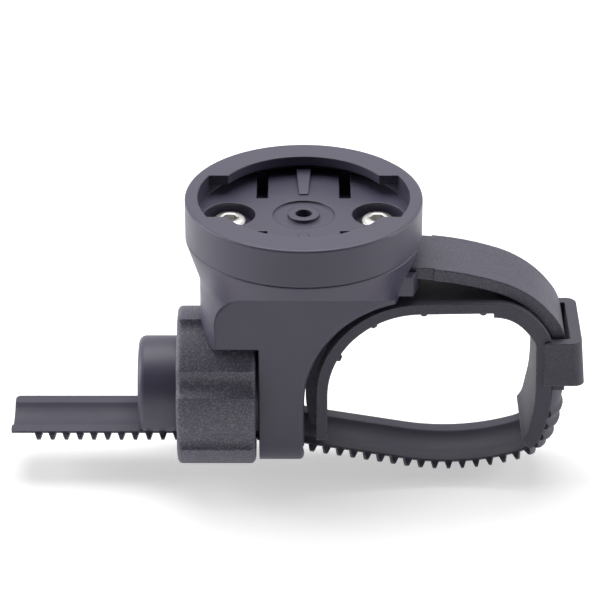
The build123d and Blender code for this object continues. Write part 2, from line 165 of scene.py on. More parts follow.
@dataclass(frozen=True)
class MouldedFinish:
    """A moulded polymer: body colour, a mould texture and edges that were never quite sharp.

    Lengths are in millimetres. The painted glint is a paler colour painted on the texture's peaks, a
    painted highlight as if they caught the light one by one, and more of it is painted along the edges
    as a painted edge highlight. An edge is where the surface and its rounding face apart: edge_bend
    holds the cosines between the two where the painted edge highlight begins and where it is full.
    Where grain_from and grain_to are given, the grain grows from its least share to the whole between
    these two heights.
    """

    name: str
    colour: str
    cloud_colour: str
    roughness: float
    ior: float
    grain: float
    grain_height: float
    cloud: float = 7.0
    cloud_detail: float = 4.0
    cloud_range: tuple[float, float] = (0.3, 0.7)
    grain_detail: float = 2.5
    detail_share: float = 0.6
    roughness_spread: float = 0.05
    bevel_samples: int = 8
    edge_radius: float = 0.25
    # Painted highlights: a paler colour painted on the grain's peaks as glints, and more of it along the
    # edges
    highlight_bevel_radius: float = 0.35
    painted_highlight_colour: str = "#9a98a4"
    painted_glint: float = 0.0
    painted_edge_highlight: float = 0.0
    edge_bend: tuple[float, float] = (0.99, 0.88)
    peaks: tuple[float, float] = (0.42, 0.66)
    peak_floor: float = 0.3
    sheen: float = 0.0
    sheen_roughness: float = 0.6
    least_grain: float = 0.15
    grain_from: float | None = None
    grain_to: float | None = None

    def material(self) -> bpy.types.Material:
        """Builds the finish the first time, and gives the same material after that.

        Returns:
            The material.
        """
        if self.name in bpy.data.materials:
            return bpy.data.materials[self.name]
        material = new_material(self.name)
        tree = material.node_tree
        place = add_node(tree, "ShaderNodeTexCoord").outputs["Object"]
        cloud, grain = (
            add_node(
                tree,
                "ShaderNodeTexNoise",
                {"Scale": per_mm(size), "Detail": detail, "Roughness": self.detail_share},
                {"Vector": place},
            ).outputs["Fac"]
            for size, detail in ((self.cloud, self.cloud_detail), (self.grain, self.grain_detail))
        )
        grown = self._grown(tree, place)
        colour = add_node(
            tree,
            "ShaderNodeMix",
            {"data_type": "RGBA", 6: linear(self.colour), 7: linear(self.cloud_colour)},
            {"Factor": cloud},
        ).outputs[2]
        # Painted highlights: the grain's peaks and the edges get a paler colour that stands in for light
        # caught there
        if self.painted_glint or self.painted_edge_highlight:
            colour = self._paint_highlights(tree, colour, grain, grown)
        roughness = add_node(
            tree,
            "ShaderNodeMapRange",
            {
                "From Min": self.cloud_range[0],
                "From Max": self.cloud_range[1],
                "To Min": self.roughness - self.roughness_spread,
                "To Max": self.roughness + self.roughness_spread,
            },
            {"Value": cloud},
        )
        shader = add_node(
            tree,
            "ShaderNodeBsdfPrincipled",
            {"IOR": self.ior, "Sheen Weight": self.sheen, "Sheen Roughness": self.sheen_roughness},
            {
                "Base Color": colour,
                "Roughness": roughness.outputs["Result"],
                "Normal": self._relief(tree, grain, grown),
            },
        )
        add_node(tree, "ShaderNodeOutputMaterial", links={"Surface": shader.outputs["BSDF"]})
        return material

    def _grown(self, tree: bpy.types.NodeTree, place: bpy.types.NodeSocket) -> bpy.types.NodeSocket | None:
        """Gives the share of the grain that a height has, where only the upper part is grained.

        Args:
            tree: The material's node tree.
            place: The object's coordinates.

        Returns:
            A socket from 0 to 1, or None where the grain is the same all over.
        """
        if self.grain_from is None or self.grain_to is None:
            return None
        parts = add_node(tree, "ShaderNodeSeparateXYZ", links={"Vector": place})
        return add_node(
            tree,
            "ShaderNodeMapRange",
            {
                "From Min": self.grain_from * MM,
                "From Max": self.grain_to * MM,
                "To Min": self.least_grain,
                "To Max": 1.0,
            },
            {"Value": parts.outputs["Z"]},
        ).outputs["Result"]

    def _relief(
        self, tree: bpy.types.NodeTree, grain: bpy.types.NodeSocket, grown: bpy.types.NodeSocket | None
    ) -> bpy.types.NodeSocket:
        """Rounds the edges and raises the grain on them.

        Args:
            tree: The material's node tree.
            grain: The grain's height.
            grown: The share of the grain, if it isn't the same all over.

        Returns:
            The normal as a socket.
        """
        if grown is not None:
            grain = add_node(
                tree, "ShaderNodeMath", {"operation": "MULTIPLY"}, {0: grain, 1: grown}
            ).outputs["Value"]
        rounded = add_node(
            tree, "ShaderNodeBevel", {"samples": self.bevel_samples, "Radius": self.edge_radius * MM}
        )
        return add_node(
            tree,
            "ShaderNodeBump",
            {"Strength": 1.0, "Distance": self.grain_height * MM},
            {"Height": grain, "Normal": rounded.outputs["Normal"]},
        ).outputs["Normal"]

    def _paint_highlights(
        self,
        tree: bpy.types.NodeTree,
        colour: bpy.types.NodeSocket,
        grain: bpy.types.NodeSocket,
        grown: bpy.types.NodeSocket | None,
    ) -> bpy.types.NodeSocket:
        """Lightens the peaks of the grain, more along the edges.

        Args:
            tree: The material's node tree.
            colour: The body colour.
            grain: The grain's height.
            grown: The share of the grain, if it isn't the same all over.

        Returns:
            The colour with its painted glints and painted edge highlight.
        """
        # Painted edge highlight: found where a wide rounding of the normal bends away from the true normal
        geometry = add_node(tree, "ShaderNodeNewGeometry")
        wide = add_node(
            tree, "ShaderNodeBevel", {"samples": self.bevel_samples, "Radius": self.highlight_bevel_radius * MM}
        )
        bend = add_node(
            tree,
            "ShaderNodeVectorMath",
            {"operation": "DOT_PRODUCT"},
            {0: wide.outputs["Normal"], 1: geometry.outputs["Normal"]},
        )
        edge = add_node(
            tree,
            "ShaderNodeMapRange",
            {
                "From Min": self.edge_bend[0],
                "From Max": self.edge_bend[1],
                "To Min": self.painted_glint,
                "To Max": self.painted_edge_highlight,
            },
            {"Value": bend.outputs["Value"]},
        )
        # Painted glints: the grain's highest peaks take the paler colour
        peaks = add_node(
            tree,
            "ShaderNodeMapRange",
            {
                "From Min": self.peaks[0],
                "From Max": self.peaks[1],
                "To Min": self.peak_floor,
                "To Max": 1.0,
            },
            {"Value": grain},
        )
        share = add_node(
            tree,
            "ShaderNodeMath",
            {"operation": "MULTIPLY"},
            {0: edge.outputs["Result"], 1: peaks.outputs["Result"]},
        )
        if grown is not None:
            share = add_node(
                tree, "ShaderNodeMath", {"operation": "MULTIPLY"}, {0: share.outputs["Value"], 1: grown}
            )
        return add_node(
            tree,
            "ShaderNodeMix",
            {"data_type": "RGBA", 7: linear(self.painted_highlight_colour)},
            {"Factor": share.outputs["Value"], 6: colour},
        ).outputs[2]


@dataclass(frozen=True)
class TurnedMetalFinish:
    """A metal turned on a lathe, with fine rings about its own upright axis.

    Lengths are in millimetres, and the axis is given in metres.
    """

    name: str
    colour: str
    roughness: float
    axis: tuple[float, float]
    ring_pitch: float = 0.12
    ring_height: float = 0.002
    ring_strength: float = 0.6
    ring_distortion: float = 1.5
    ring_detail: float = 2.0
    roughness_range: tuple[float, float] = (-0.04, 0.06)
    bevel_samples: int = 6
    edge_radius: float = 0.12

    def material(self) -> bpy.types.Material:
        """Builds the finish.

        Returns:
            The material.
        """
        material = new_material(self.name)
        tree = material.node_tree
        place = add_node(tree, "ShaderNodeTexCoord").outputs["Object"]
        centred = add_node(
            tree, "ShaderNodeMapping", {"Location": (-self.axis[0], -self.axis[1], 0.0)}, {"Vector": place}
        )
        rings = add_node(
            tree,
            "ShaderNodeTexWave",
            {
                "wave_type": "RINGS",
                "rings_direction": "Z",
                "Scale": per_mm(self.ring_pitch) / WAVE_REPEATS,
                "Distortion": self.ring_distortion,
                "Detail": self.ring_detail,
            },
            {"Vector": centred.outputs["Vector"]},
        )
        rounded = add_node(
            tree, "ShaderNodeBevel", {"samples": self.bevel_samples, "Radius": self.edge_radius * MM}
        )
        bump = add_node(
            tree,
            "ShaderNodeBump",
            {"Strength": self.ring_strength, "Distance": self.ring_height * MM},
            {"Height": rings.outputs["Fac"], "Normal": rounded.outputs["Normal"]},
        )
        roughness = add_node(
            tree,
            "ShaderNodeMapRange",
            {
                "To Min": self.roughness + self.roughness_range[0],
                "To Max": self.roughness + self.roughness_range[1],
            },
            {"Value": rings.outputs["Fac"]},
        )
        shader = add_node(
            tree,
            "ShaderNodeBsdfPrincipled",
            {"Base Color": linear(self.colour), "Metallic": 1.0},
            {"Roughness": roughness.outputs["Result"], "Normal": bump.outputs["Normal"]},
        )
        add_node(tree, "ShaderNodeOutputMaterial", links={"Surface": shader.outputs["BSDF"]})
        return material


# Glass-filled nylon from a finely blasted mould: charcoal with a violet cast and a soft satin gleam
BLASTED_NYLON = MouldedFinish(
    name="blasted_nylon", colour="#474356", cloud_colour="#4c485b", roughness=0.42, ior=1.53, grain=0.22,
    grain_height=0.004, edge_radius=0.3,
)
# The same nylon from a spark-eroded mould: coarse grain whose peaks get painted glints, most along the edges
# as painted highlight
SPARKED_NYLON = MouldedFinish(
    name="sparked_nylon", colour="#454252", cloud_colour="#4f4c5d", roughness=0.5, ior=1.53, grain=0.26,
    grain_height=0.08, cloud=3.0, edge_radius=0.3, painted_glint=0.5, painted_edge_highlight=0.85, peaks=(0.46, 0.64),
    peak_floor=0.12,
)
# Flexible polyurethane: the arm over the handlebar is grained and the toothed part nearly smooth
BAND_ELASTOMER = MouldedFinish(
    name="grained_polyurethane", colour="#3d3a49", cloud_colour="#434051", roughness=0.6, ior=1.5,
    # painted glints on the grain's peaks and a painted highlight along the edges
    grain=0.24, grain_height=0.02, edge_radius=0.35, painted_glint=0.24, painted_edge_highlight=0.45,
    grain_from=2.0, grain_to=8.0,
)
# Soft rubber with a matte skin that scatters light at grazing angles
LINER_RUBBER = MouldedFinish(
    name="matte_rubber", colour="#3b3847", cloud_colour="#413e4d", roughness=0.66, ior=1.5, grain=0.3,
    # faint painted glints on the grain's peaks and a painted highlight along the edges
    grain_height=0.02, edge_radius=0.25, painted_glint=0.1, painted_edge_highlight=0.35, sheen=0.1,
)


def dress(node: bpy.types.Object, material: bpy.types.Material) -> None:
    """Gives a solid its finish and says so.

    Args:
        node: The solid's object.
        material: Its finish.
    """
    node.data.materials.clear()
    node.data.materials.append(material)
    for polygon in node.data.polygons:
        polygon.material_index = 0
    log.info("%s: %s, %d faces", node.name, material.name, len(node.data.polygons))


@dataclass
class SocketScrew:
    """One stainless button screw: turned head, hexagon drive and rolled thread.

    Lengths are in millimetres up to pitch, and the places read from the frame are in metres.
    """

    node: str
    name: str
    head_height: float = 1.6
    land_height: float = 0.75
    foot_chamfer: float = 0.1
    crown_angle: float = 78.0
    crown_steps: int = 8
    crown_share: float = 0.53
    drive_width: float = 2.0
    drive_depth: float = 0.9
    drive_chamfer: float = 0.18
    thread_radius: float = 1.5
    core_radius: float = 1.23
    tip_chamfer: float = 0.3
    thread_run_out: float = 0.8
    pitch: float = 0.5
    steps: int = 96
    thread_steps: int = 32
    thread_root_share: float = 0.99
    thread_flank_share: float = 0.42
    sharp_angle: float = 35.0
    axis: Vector = field(init=False)
    head_radius: float = field(init=False)
    top: float = field(init=False)
    tip: float = field(init=False)

    def __post_init__(self) -> None:
        """Reads the screw's place from the frame."""
        low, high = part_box(self.node)
        self.axis = Vector(((low.x + high.x) / 2, (low.y + high.y) / 2, 0.0))
        self.head_radius = (high.x - low.x) / 2
        self.top = high.z
        self.tip = low.z

    def build(self) -> bpy.types.Object:
        """Models the screw and dresses it.

        Returns:
            The screw's object.
        """
        mesh = bmesh.new()
        self._turn(mesh)
        bmesh.ops.recalc_face_normals(mesh, faces=mesh.faces)
        self._roll_thread(mesh)
        data = bpy.data.meshes.new(self.name)
        mesh.to_mesh(data)
        mesh.free()
        for polygon in data.polygons:
            polygon.use_smooth = True
        screw = bpy.data.objects.new(self.name, data)
        bpy.context.scene.collection.objects.link(screw)
        split = screw.modifiers.new("sharp_edges", "EDGE_SPLIT")
        split.split_angle = math.radians(self.sharp_angle)
        # Stainless steel, turned and tumbled: near-white, with a bright crown and faint rings
        finish = TurnedMetalFinish(
            name=f"stainless_steel_{self.name}",
            colour="#d0cecb",
            roughness=0.3,
            axis=(self.axis.x, self.axis.y),
        )
        dress(screw, finish.material())
        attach(screw, Body.BRACKET.value)
        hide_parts(self.node)
        return screw

    def _turn(self, mesh: bmesh.types.BMesh) -> None:
        """Turns the outline about the axis, closes the tip and sinks the drive in the crown.

        Args:
            mesh: The empty mesh that the screw is made in.
        """
        corners = [mesh.verts.new(point + self.axis) for point in self._outline()]
        for first, second in zip(corners, corners[1:]):
            mesh.edges.new((first, second))
        bmesh.ops.spin(
            mesh, geom=[*mesh.verts, *mesh.edges], cent=self.axis, axis=(0, 0, 1), angle=math.tau,
            steps=self.steps, use_merge=True,
        )
        middle = (self.top + self.tip) / 2
        open_edges = [edge for edge in mesh.edges if edge.is_boundary]
        bmesh.ops.contextual_create(mesh, geom=[edge for edge in open_edges if edge.verts[0].co.z < middle])
        self._sink_drive(mesh, [edge for edge in open_edges if edge.verts[0].co.z > middle])

    def _outline(self) -> list[Vector]:
        """Works out half of the screw's section, from the tip to the mouth of the drive.

        Returns:
            Points in metres from the axis.
        """
        seat = self.top - self.head_height * MM
        land = seat + self.land_height * MM
        core = self.core_radius * MM
        radius = self.head_radius
        points = [
            Vector((core - self.tip_chamfer * MM, 0, self.tip)),
            Vector((core, 0, self.tip + self.tip_chamfer * MM)),
            Vector((core, 0, seat)),
            Vector((radius - self.foot_chamfer * MM, 0, seat)),
            Vector((radius, 0, seat + self.foot_chamfer * MM)),
            Vector((radius, 0, land)),
        ]
        last = math.radians(self.crown_angle)
        rise = (self.top - land) / math.sin(last)
        for step in range(1, self.crown_steps + 1):
            angle = step / self.crown_steps * last
            reach = radius * (1 - self.crown_share * (1 - math.cos(angle)))
            points.append(Vector((reach, 0, land + rise * math.sin(angle))))
        mouth = self.drive_width / 2 / math.cos(HALF_SIDE) + self.drive_chamfer
        points.append(Vector((mouth * MM, 0, self.top)))
        return points

    def _sink_drive(self, mesh: bmesh.types.BMesh, rim: list[bmesh.types.BMEdge]) -> None:
        """Bridges the crown's rim to a hexagon half a chamfer lower and sinks it to a flat floor.

        Args:
            mesh: The mesh of the screw.
            rim: The open edges round the top.
        """
        height = self.top - self.drive_chamfer / 2 * MM
        made = bmesh.ops.create_circle(
            mesh, cap_ends=False, radius=self.drive_width / 2 * MM, segments=self.steps,
            matrix=Matrix.Translation(self.axis + Vector((0, 0, height))),
        )
        for corner in made["verts"]:
            reach = corner.co - self.axis
            angle = math.atan2(reach.y, reach.x) % (2 * HALF_SIDE) - HALF_SIDE
            reach.xy /= math.cos(angle)
            corner.co = self.axis + reach
        hexagon = list(dict.fromkeys(edge for vert in made["verts"] for edge in vert.link_edges))
        bmesh.ops.bridge_loops(mesh, edges=[*rim, *hexagon])
        sunk = bmesh.ops.extrude_edge_only(mesh, edges=hexagon)["geom"]
        floor = [item for item in sunk if isinstance(item, bmesh.types.BMVert)]
        bmesh.ops.translate(mesh, vec=(0, 0, -self.drive_depth * MM), verts=floor)
        edges = [item for item in sunk if isinstance(item, bmesh.types.BMEdge) and item.is_boundary]
        bmesh.ops.contextual_create(mesh, geom=edges)

    def _roll_thread(self, mesh: bmesh.types.BMesh) -> None:
        """Winds a three-cornered ridge round the core and closes its two ends.

        Args:
            mesh: The mesh of the screw, whose own faces stay as they are.
        """
        low = self.tip + self.tip_chamfer * MM
        high = self.top - (self.head_height + self.thread_run_out) * MM
        turns = (high - low) / (self.pitch * MM)
        root = self.core_radius * MM * self.thread_root_share
        half = self.thread_flank_share * self.pitch * MM
        section = [
            mesh.verts.new(self.axis + Vector(point))
            for point in (
                (root, 0, low - half),
                (self.thread_radius * MM, 0, low),
                (root, 0, low + half),
            )
        ]
        start = mesh.faces.new(section)
        steps = round(turns * self.thread_steps)
        bmesh.ops.spin(
            mesh, geom=[start], cent=self.axis, axis=(0, 0, 1), angle=math.tau * turns, steps=steps,
            dvec=(0, 0, (high - low) / steps),
        )
        ridge = {start}
        queue = [start]
        while queue:
            for edge in queue.pop().edges:
                for face in edge.link_faces:
                    if face not in ridge:
                        ridge.add(face)
                        queue.append(face)
        bmesh.ops.recalc_face_normals(mesh, faces=list(ridge))
        log.info("%s: thread of %.1f turns", self.name, turns)


@dataclass
class SocketCup:
    """The round quarter-turn socket."""

    node: str = "socket_cup"
    finish: MouldedFinish = BLASTED_NYLON

    def build(self, solids: dict[str, bpy.types.Object]) -> None:
        """Dresses the socket.

        Args:
            solids: The solids of the frame by name.
        """
        dress(solids[self.node], self.finish.material())


@dataclass
class GripKnob:
    """The lobed knob that draws the band tight."""

    node: str = "knob"
    finish: MouldedFinish = SPARKED_NYLON

    def build(self, solids: dict[str, bpy.types.Object]) -> None:
        """Dresses the knob.

        Args:
            solids: The solids of the frame by name.
        """
        dress(solids[self.node], self.finish.material())


@dataclass(frozen=True)
class Run:
    """One stretch of a line in the plane of the loop: a straight, or an arc that turns left if positive."""

    length: float
    radius: float = 0.0
    turn: float = 0.0


def arc(radius: float, turn: float) -> Run:
    """Makes the run of an arc from its radius in millimetres and its turn in degrees."""
    return Run(abs(math.radians(turn)) * radius, radius, turn)


@dataclass
class BandLine:
    """The line of the band's inner face, from the tail's end round the loop to the arm, in millimetres.

    A point has a distance along the line, a distance out of the loop from it, and its place across the band.
    """

    start: tuple[float, float] = (-60.45, -5.972)
    runs: tuple[Run, ...] = (
        Run(35.7),
        arc(10.5, -17.5),
        arc(60.0, 7.5),
        Run(12.318),
        arc(34.5, 27.5),
        arc(5.7, 54.5),
        arc(22.5, 18.0),
        Run(7.008),
        arc(6.2, 36.2),
        Run(0.5),
        arc(14.6, 35.0),
    )
    corner_run: int = 5
    upright_run: int = 7
    marks: list[tuple[float, float, float, float]] = field(init=False)

    def __post_init__(self) -> None:
        """Works out where each run starts: distance along, x, z and heading in radians."""
        x, z = self.start
        along, heading = 0.0, 0.0
        self.marks = [(along, x, z, heading)]
        for run in self.runs:
            x, z, heading = self._advance(run, x, z, heading, run.length)
            along += run.length
            self.marks.append((along, x, z, heading))

    @staticmethod
    def _advance(run: Run, x: float, z: float, heading: float, length: float) -> tuple[float, float, float]:
        """Follows one run for a length.

        Args:
            run: The run.
            x: Where it starts.
            z: Where it starts.
            heading: Its heading there, in radians.
            length: How far to go.

        Returns:
            The place and the heading there.
        """
        if not run.turn:
            return x + length * math.cos(heading), z + length * math.sin(heading), heading
        side = math.copysign(1.0, run.turn)
        centre_x = x - side * run.radius * math.sin(heading)
        centre_z = z + side * run.radius * math.cos(heading)
        heading += side * length / run.radius
        return (
            centre_x + side * run.radius * math.sin(heading),
            centre_z - side * run.radius * math.cos(heading),
            heading,
        )

    def along_at(self, run: int) -> float:
        """Gives the distance along the line at which a run starts."""
        return self.marks[run][0]

    def frame_at(self, along: float) -> tuple[Vector, Vector, Vector]:
        """Gives a place on the line with its directions.

        Args:
            along: Distance along the line.

        Returns:
            The place in metres, and the unit vectors forward and out of the loop.
        """
        number = max(i for i in range(len(self.runs)) if i == 0 or self.marks[i][0] <= along)
        mark = self.marks[number]
        x, z, heading = self._advance(self.runs[number], mark[1], mark[2], mark[3], along - mark[0])
        forward = Vector((math.cos(heading), 0.0, math.sin(heading)))
        return Vector((x, 0.0, z)) * MM, forward, Vector((forward.z, 0.0, -forward.x))

    def point(self, along: float, out: float, across: float) -> Vector:
        """Gives the point at some place of the line, out of the loop and across the band, in metres."""
        place, _, outward = self.frame_at(along)
        return place + outward * out * MM + Vector((0.0, across * MM, 0.0))

    def locate(self, point: Vector) -> tuple[float, float]:
        """Finds where a point lies along the line and how far out of the loop.

        Args:
            point: A point in metres.

        Returns:
            Both distances in millimetres.
        """
        best = (math.inf, 0.0, 0.0)
        for run, (along, x, z, heading) in zip(self.runs, self.marks):
            reach = (point.x / MM - x, point.z / MM - z)
            if run.turn:
                side = math.copysign(1.0, run.turn)
                spoke = (
                    side * (reach[0] + side * run.radius * math.sin(heading)),
                    side * (reach[1] - side * run.radius * math.cos(heading)),
                )
                swept = side * (math.atan2(spoke[0], -spoke[1]) - heading)
                local = ((swept + math.pi) % math.tau - math.pi) * run.radius
                out = side * (math.hypot(*spoke) - run.radius)
            else:
                local = reach[0] * math.cos(heading) + reach[1] * math.sin(heading)
                out = reach[0] * math.sin(heading) - reach[1] * math.cos(heading)
            missed = abs(local - min(max(local, 0.0), run.length)) + abs(out)
            if missed < best[0]:
                best = (missed, along + local, out)
        return best[1], best[2]


def merged_copy(node: bpy.types.Object) -> bmesh.types.BMesh:
    """Copies a solid's loose triangles into one closed mesh.

    Args:
        node: The solid's object, which stays as it is.

    Returns:
        The mesh.
    """
    mesh = bmesh.new()
    mesh.from_mesh(node.data)
    bmesh.ops.remove_doubles(mesh, verts=mesh.verts, dist=MERGE_REACH)
    return mesh


def stand_for(
    mesh: bmesh.types.BMesh, name: str, node: str, finish: MouldedFinish
) -> bpy.types.Object:
    """Makes the object that stands for a solid of the bracket's body.

    The copy's corners were merged, so its normals are worked out anew: smooth, with sharp edges kept.

    Args:
        mesh: Its mesh, which is freed.
        name: The object's name.
        node: The solid that it replaces.
        finish: Its finish.

    Returns:
        The object.
    """
    data = bpy.data.meshes.new(name)
    mesh.to_mesh(data)
    mesh.free()
    data.attributes.remove(data.attributes["custom_normal"])
    for polygon in data.polygons:
        polygon.use_smooth = True
    data.set_sharp_from_angle(angle=math.radians(SHARP_ANGLE))
    piece = bpy.data.objects.new(name, data)
    bpy.context.scene.collection.objects.link(piece)
    piece.modifiers.new("even_normals", "WEIGHTED_NORMAL").keep_sharp = True
    dress(piece, finish.material())
    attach(piece, Body.BRACKET.value)
    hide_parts(node)
    return piece


@dataclass
class MouldedBracket:
    """The bracket under the socket: the two lower edges of its leg are rounded as the real one's are.

    Lengths are in millimetres. Each edge has its place along X, the way it faces and its radius.
    """

    node: str = "bracket"
    name: str = "moulded_bracket"
    finish: MouldedFinish = BLASTED_NYLON
    foot_edges: tuple[tuple[float, float, float], ...] = ((-17.0, 1.0, 2.3), (-23.65, -1.0, 0.8))
    steps: int = 8

    def build(self, solids: dict[str, bpy.types.Object]) -> bpy.types.Object:
        """Models the bracket from its solid.

        Args:
            solids: The solids of the frame by name.

        Returns:
            The bracket's object.
        """
        mesh = merged_copy(solids[self.node])
        foot = min(vert.co.z for vert in mesh.verts) / MM
        for edge, way, radius in self.foot_edges:
            self._round(mesh, foot, edge, way, radius)
        return stand_for(mesh, self.name, self.node, self.finish)

    def _round(self, mesh: bmesh.types.BMesh, foot: float, edge: float, way: float, radius: float) -> None:
        """Cuts fans of faces at one lower edge and sets their corners on the rounding.

        Args:
            mesh: The bracket's mesh.
            foot: Height of the leg's foot.
            edge: The edge's place along X.
            way: One where the edge faces +X, or minus one.
            radius: Radius of the rounding.
        """
        centre = Vector((edge - way * radius, 0.0, foot + radius)) * MM
        for step in range(self.steps + 1):
            angle = step / self.steps * math.pi / 2
            ray = Vector((way * math.cos(angle), 0.0, -math.sin(angle)))
            faces = [face for face in mesh.faces if self._near(face, centre, way, radius)]
            edges = {item for face in faces for item in face.edges}
            corners = {item for face in faces for item in face.verts}
            bmesh.ops.bisect_plane(
                mesh, geom=[*faces, *edges, *corners], dist=CUT_REACH, plane_co=centre,
                plane_no=(ray.z, 0.0, -ray.x),
            )
        for vert in mesh.verts:
            spoke = Vector((vert.co.x - centre.x, 0.0, vert.co.z - centre.z))
            beside = -MERGE_REACH < way * spoke.x < (radius + SLACK) * MM and spoke.z < MERGE_REACH
            if beside and spoke.length > radius * MM:
                spoke *= radius * MM / spoke.length
                vert.co.x = centre.x + spoke.x
                vert.co.z = centre.z + spoke.z

    @staticmethod
    def _near(face: bmesh.types.BMFace, centre: Vector, way: float, radius: float) -> bool:
        """Says whether a face reaches into the corner that is rounded.

        Args:
            face: The face.
            centre: Centre of the rounding, in metres.
            way: One where the edge faces +X, or minus one.
            radius: Radius of the rounding.

        Returns:
            True if it does.
        """
        low = min(vert.co.z for vert in face.verts)
        far = max(way * (vert.co.x - centre.x) for vert in face.verts)
        return low < centre.z and 0 < far < (radius + SLACK) * MM


@dataclass
class ToothedBand:
    """The flexible band: its groove is deepened to the full channel and its teeth go on round the corner.

    Lengths are in millimetres.
    """

    line: BandLine
    node: str = "band"
    name: str = "toothed_band"
    finish: MouldedFinish = BAND_ELASTOMER
    groove_width: float = 6.6
    solid_groove_depth: float = 0.68
    groove_depth: float = 1.35
    groove_strips: int = 17
    root_depth: float = 5.072
    root_radius: float = 7.3
    root_overlap: float = 0.2
    tooth_base: float = 1.25
    tooth_tip: float = 0.4
    tooth_arc: float = 88.0
    tooth_steps: int = 14
    corner_teeth: tuple[tuple[float, float], ...] = ((2.9, 0.85), (4.25, 0.75), (6.1, 0.6), (8.1, 0.45))

    def build(self, solids: dict[str, bpy.types.Object]) -> bpy.types.Object:
        """Models the band from its solid.

        Args:
            solids: The solids of the frame by name.

        Returns:
            The band's object.
        """
        mesh = merged_copy(solids[self.node])
        self._mend_back(mesh)
        self._deepen_groove(mesh)
        for along, height in self.corner_teeth:
            self._add_tooth(mesh, self.line.along_at(self.line.corner_run) + along, height)
        return stand_for(mesh, self.name, self.node, self.finish)

    def _reach(self, point: Vector) -> float:
        """Gives a point's distance from the axis of the band's round back, in millimetres."""
        out = self.line.locate(point)[1]
        return math.hypot(out + self.root_depth, point.y / MM)

    def _mend_back(self, mesh: bmesh.types.BMesh) -> None:
        """Lays the faces anew that join points of the round back but cut through the band between them.

        Args:
            mesh: The band's mesh.
        """
        cutting = []
        for face in mesh.faces:
            reaches = [self._reach(vert.co) for vert in face.verts]
            on_back = min(reaches) > self.root_radius - SLACK and max(reaches) < self.root_radius + SLACK
            if on_back and self._reach(face.calc_center_median()) < self.root_radius - SLACK:
                cutting.append(face)
        joined = bmesh.ops.dissolve_faces(mesh, faces=cutting)["region"]
        laid = bmesh.ops.triangulate(mesh, faces=joined, ngon_method="BEAUTY")["faces"]
        log.info("%s: %d faces across the back laid anew as %d", self.node, len(cutting), len(laid))

    def _in_groove(self, vert: bmesh.types.BMVert) -> bool:
        """Says whether a corner lies on the groove's surface or its edges.

        Args:
            vert: A corner of the band's mesh.

        Returns:
            True if it does.
        """
        if abs(vert.co.y) > (self.groove_width / 2 + SLACK) * MM:
            return False
        along, out = self.line.locate(vert.co)
        on_surface = -SLACK < out < self.solid_groove_depth + SLACK
        return on_surface and along < self.line.along_at(self.line.upright_run) + SLACK

    def _deepen_groove(self, mesh: bmesh.types.BMesh) -> None:
        """Cuts the groove's faces into strips and sets them on a deeper arc.

        Args:
            mesh: The band's mesh.
        """
        verts = {vert for vert in mesh.verts if self._in_groove(vert)}
        faces = {face for face in mesh.faces if all(vert in verts for vert in face.verts)}
        half = self.groove_width / 2
        for strip in range(1, self.groove_strips):
            across = -half + strip * self.groove_width / self.groove_strips
            edges = {edge for face in faces for edge in face.edges}
            corners = {vert for face in faces for vert in face.verts}
            cut = bmesh.ops.bisect_plane(
                mesh, geom=[*faces, *edges, *corners], dist=CUT_REACH, plane_co=(0, across * MM, 0),
                plane_no=(0, 1, 0),
            )
            faces = {item for item in cut["geom"] if isinstance(item, bmesh.types.BMFace)}
        radius = (half**2 + self.groove_depth**2) / (2 * self.groove_depth)
        for vert in {vert for face in faces for vert in face.verts}:
            across = vert.co.y / MM
            along, out = self.line.locate(vert.co)
            if abs(across) < half - SLACK and out > SLACK:
                depth = math.sqrt(radius**2 - across**2) - (radius - self.groove_depth)
                vert.co = self.line.point(along, depth, across)

    def _add_tooth(self, mesh: bmesh.types.BMesh, along: float, height: float) -> None:
        """Adds one tooth: its section swung about the band's own axis there.

        Args:
            mesh: The band's mesh.
            along: Distance along the band's line.
            height: The tooth's height.
        """
        place, forward, outward = self.line.frame_at(along)
        centre = place - outward * self.root_depth * MM
        half = math.radians(self.tooth_arc / 2)
        low = self.root_radius - self.root_overlap
        high = self.root_radius + height
        start = Matrix.Rotation(-half, 4, forward)
        section = [
            mesh.verts.new(centre + start @ (forward * shift * MM + outward * reach * MM))
            for shift, reach in (
                (-self.tooth_base / 2, low),
                (self.tooth_base / 2, low),
                (self.tooth_base / 2, self.root_radius),
                (self.tooth_tip / 2, high),
                (-self.tooth_tip / 2, high),
                (-self.tooth_base / 2, self.root_radius),
            )
        ]
        face = mesh.faces.new(section)
        before = set(mesh.faces)
        bmesh.ops.spin(
            mesh, geom=[face], cent=centre, axis=forward, angle=2 * half, steps=self.tooth_steps
        )
        bmesh.ops.recalc_face_normals(mesh, faces=[face, *(set(mesh.faces) - before)])


